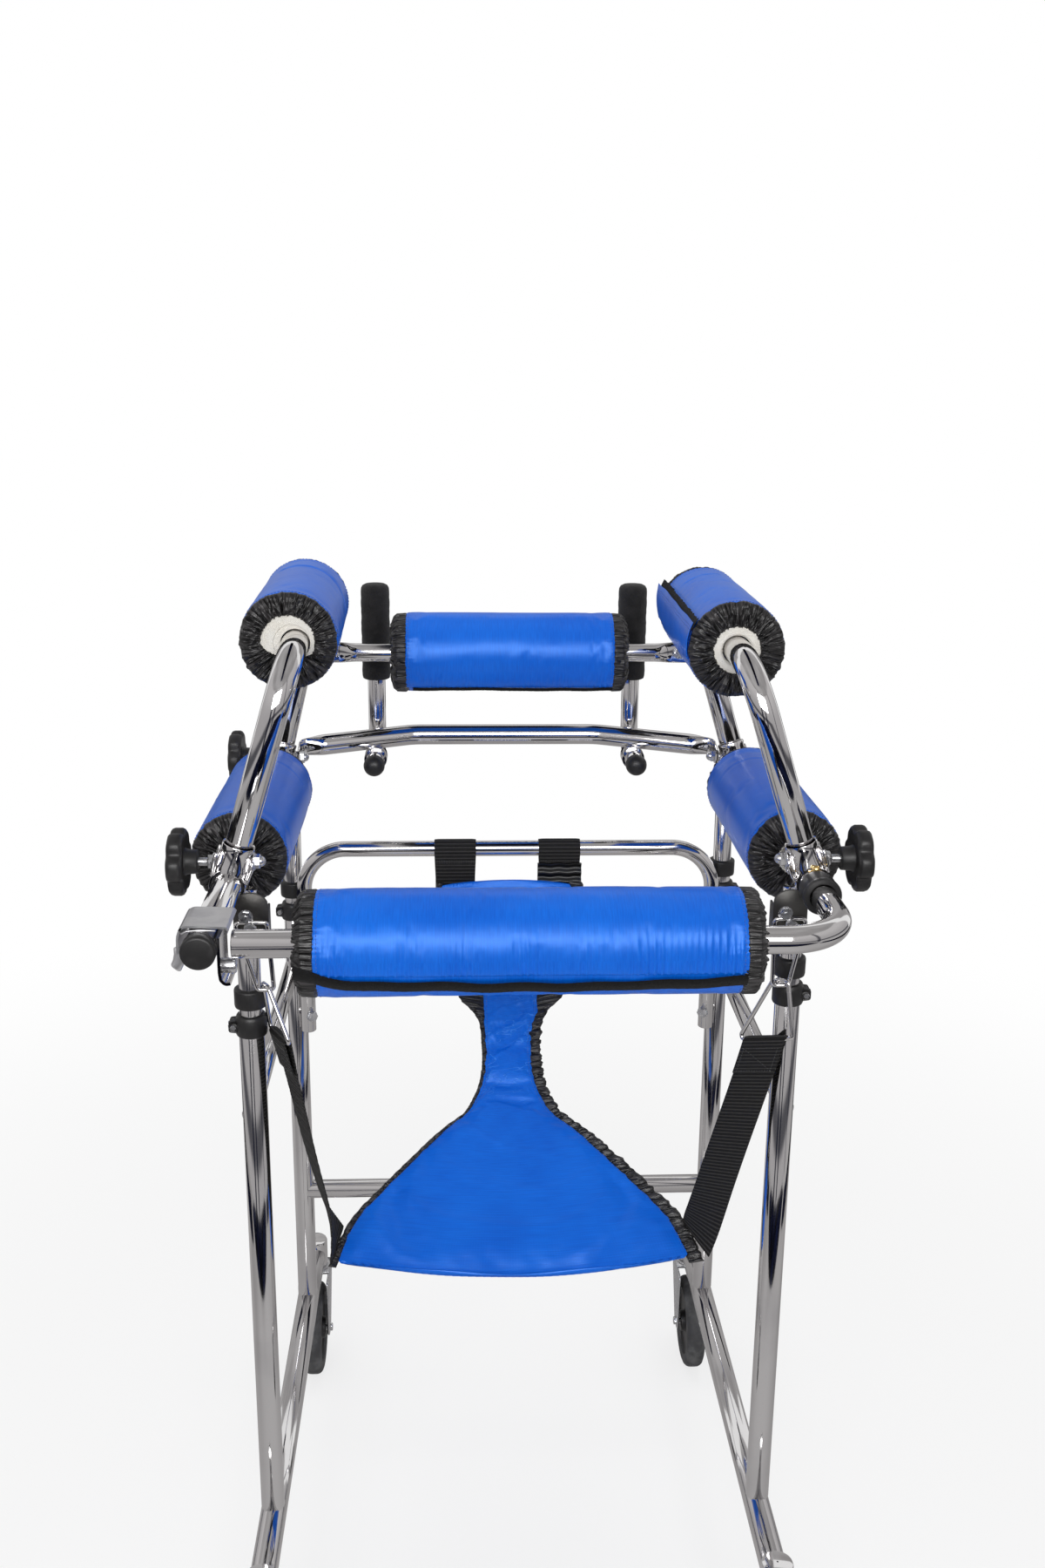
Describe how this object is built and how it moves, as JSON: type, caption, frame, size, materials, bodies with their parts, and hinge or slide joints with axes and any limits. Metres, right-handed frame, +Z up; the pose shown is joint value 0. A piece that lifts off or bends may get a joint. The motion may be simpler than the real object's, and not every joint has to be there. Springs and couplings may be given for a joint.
{
  "type": "hemiplegic rollator",
  "caption": "Chromed walking frame with padded arm loops, swing-up padded gate, sling seat, two push handles and swivelling castors.",
  "frame": {"origin": "centre of the bounding box on the floor, under the frame", "axes": "+Z up, +Y the way the user walks, +X to the user's right"},
  "size_m": [0.678, 0.7365, 1.1686],
  "materials": {
    "chrome": "bright plate",
    "zinc_steel": "zinc plate",
    "brass": "satin",
    "black_plastic": "satin",
    "black_foam": "foam",
    "blue_nylon": "woven nylon",
    "black_webbing": "ribbed webbing",
    "grey_rubber": "matt"
  },
  "bodies": {
    "base_frame": {"front_crossbar": "chrome", "strap_bar": "chrome", "sling_seat": "blue_nylon", "left_base_rail": "chrome", "left_side_stretcher": "chrome", "left_near_outer_post": "chrome", "left_far_outer_post": "chrome", "right_base_rail": "chrome", "right_side_stretcher": "chrome", "right_near_outer_post": "chrome", "right_far_outer_post": "chrome"},
    "upper_frame": {"chest_pad": "blue_nylon", "chest_bar": "chrome", "handle_crossbar": "chrome", "gate_rest": "chrome", "left_rail": "chrome", "left_arm_loop": "chrome", "left_bail": "chrome", "left_ring": "chrome", "left_strap": "black_webbing", "left_upper_pad": "blue_nylon", "left_lower_pad": "blue_nylon", "left_near_inner_post": "chrome", "left_near_clamp": "chrome", "left_far_inner_post": "chrome", "left_far_clamp": "chrome", "right_rail": "chrome", "right_arm_loop": "chrome", "right_bail": "chrome", "right_ring": "chrome", "right_strap": "black_webbing", "right_upper_pad": "blue_nylon", "right_lower_pad": "blue_nylon", "right_near_inner_post": "chrome", "right_near_clamp": "chrome", "right_far_inner_post": "chrome", "right_far_clamp": "chrome"},
    "left_near_castor": {"left_near_castor_fork": "zinc_steel"},
    "left_near_wheel": {"left_near_castor_wheel": "grey_rubber"},
    "left_near_knob": {"left_near_knob": "black_plastic"},
    "left_far_castor": {"left_far_castor_fork": "zinc_steel"},
    "left_far_wheel": {"left_far_castor_wheel": "grey_rubber"},
    "left_far_knob": {"left_far_knob": "black_plastic"},
    "left_near_brake": {"left_near_brake_pedal": "black_plastic"},
    "left_hand_lever": {"left_handle": "chrome", "left_grip": "black_foam"},
    "right_near_castor": {"right_near_castor_fork": "zinc_steel"},
    "right_near_wheel": {"right_near_castor_wheel": "grey_rubber"},
    "right_near_knob": {"right_near_knob": "black_plastic"},
    "right_far_castor": {"right_far_castor_fork": "zinc_steel"},
    "right_far_wheel": {"right_far_castor_wheel": "grey_rubber"},
    "right_far_knob": {"right_far_knob": "black_plastic"},
    "right_near_brake": {"right_near_brake_pedal": "black_plastic"},
    "right_hand_lever": {"right_handle": "chrome", "right_grip": "black_foam"},
    "gate": {"gate_bar": "chrome", "gate_pad": "blue_nylon"},
    "latch": {"latch_keeper": "chrome"},
    "button": {"gate_button": "brass"}
  },
  "joints": [
    {"name": "height_slide", "type": "slide", "parent": "base_frame", "child": "upper_frame", "axis": [0, 0, 1], "range_m": [0, 0.1], "deforming": ["left_strap", "right_strap"]},
    {"name": "left_near_swivel", "type": "hinge", "parent": "base_frame", "child": "left_near_castor", "pos_m": [-0.2685, -0.2702, 0.15], "axis": [0, 0, 1], "continuous": true},
    {"name": "left_near_wheel_spin", "type": "hinge", "parent": "left_near_castor", "child": "left_near_wheel", "pos_m": [-0.2685, -0.3042, 0.0625], "axis": [1, 0, 0], "continuous": true},
    {"name": "left_near_knob_turn", "type": "hinge", "parent": "upper_frame", "child": "left_near_knob", "pos_m": [-0.327, -0.1602, 0.921], "axis": [1, 0, 0], "continuous": true},
    {"name": "left_far_swivel", "type": "hinge", "parent": "base_frame", "child": "left_far_castor", "pos_m": [-0.2685, 0.3398, 0.15], "axis": [0, 0, 1], "continuous": true},
    {"name": "left_far_wheel_spin", "type": "hinge", "parent": "left_far_castor", "child": "left_far_wheel", "pos_m": [-0.2685, 0.3058, 0.0625], "axis": [1, 0, 0], "continuous": true},
    {"name": "left_far_knob_turn", "type": "hinge", "parent": "upper_frame", "child": "left_far_knob", "pos_m": [-0.327, 0.23386, 0.921], "axis": [1, 0, 0], "continuous": true},
    {"name": "left_near_brake_press", "type": "hinge", "parent": "left_near_castor", "child": "left_near_brake", "pos_m": [-0.2685, -0.3102, 0.136], "axis": [1, 0, 0], "range_deg": [0, 12]},
    {"name": "left_handle_slide", "type": "slide", "parent": "upper_frame", "child": "left_hand_lever", "axis": [0, 1, 0], "range_m": [0, 0.02]},
    {"name": "right_near_swivel", "type": "hinge", "parent": "base_frame", "child": "right_near_castor", "pos_m": [0.2685, -0.2702, 0.15], "axis": [0, 0, 1], "continuous": true},
    {"name": "right_near_wheel_spin", "type": "hinge", "parent": "right_near_castor", "child": "right_near_wheel", "pos_m": [0.2685, -0.3042, 0.0625], "axis": [1, 0, 0], "continuous": true},
    {"name": "right_near_knob_turn", "type": "hinge", "parent": "upper_frame", "child": "right_near_knob", "pos_m": [0.327, -0.1602, 0.921], "axis": [1, 0, 0], "continuous": true},
    {"name": "right_far_swivel", "type": "hinge", "parent": "base_frame", "child": "right_far_castor", "pos_m": [0.2685, 0.3398, 0.15], "axis": [0, 0, 1], "continuous": true},
    {"name": "right_far_wheel_spin", "type": "hinge", "parent": "right_far_castor", "child": "right_far_wheel", "pos_m": [0.2685, 0.3058, 0.0625], "axis": [1, 0, 0], "continuous": true},
    {"name": "right_far_knob_turn", "type": "hinge", "parent": "upper_frame", "child": "right_far_knob", "pos_m": [0.327, 0.23398, 0.921], "axis": [1, 0, 0], "continuous": true},
    {"name": "right_near_brake_press", "type": "hinge", "parent": "right_near_castor", "child": "right_near_brake", "pos_m": [0.2685, -0.3102, 0.136], "axis": [1, 0, 0], "range_deg": [0, 12]},
    {"name": "right_handle_slide", "type": "slide", "parent": "upper_frame", "child": "right_hand_lever", "axis": [0, 1, 0], "range_m": [0, 0.02]},
    {"name": "gate_hinge", "type": "hinge", "parent": "upper_frame", "child": "gate", "pos_m": [0.284, -0.2132, 0.9], "axis": [0, 1, 0], "range_deg": [0, 105]},
    {"name": "latch_turn", "type": "hinge", "parent": "upper_frame", "child": "latch", "pos_m": [-0.284, -0.2792, 0.9], "axis": [0, -1, 0], "range_deg": [0, 28], "stiffness_Nm_per_rad": 0.15, "springref_deg": -28.65},
    {"name": "button_press", "type": "slide", "parent": "upper_frame", "child": "button", "axis": [0, 0, -1], "range_m": [0, 0.003], "stiffness_N_per_m": 300, "springref_m": -0.002}
  ]
}
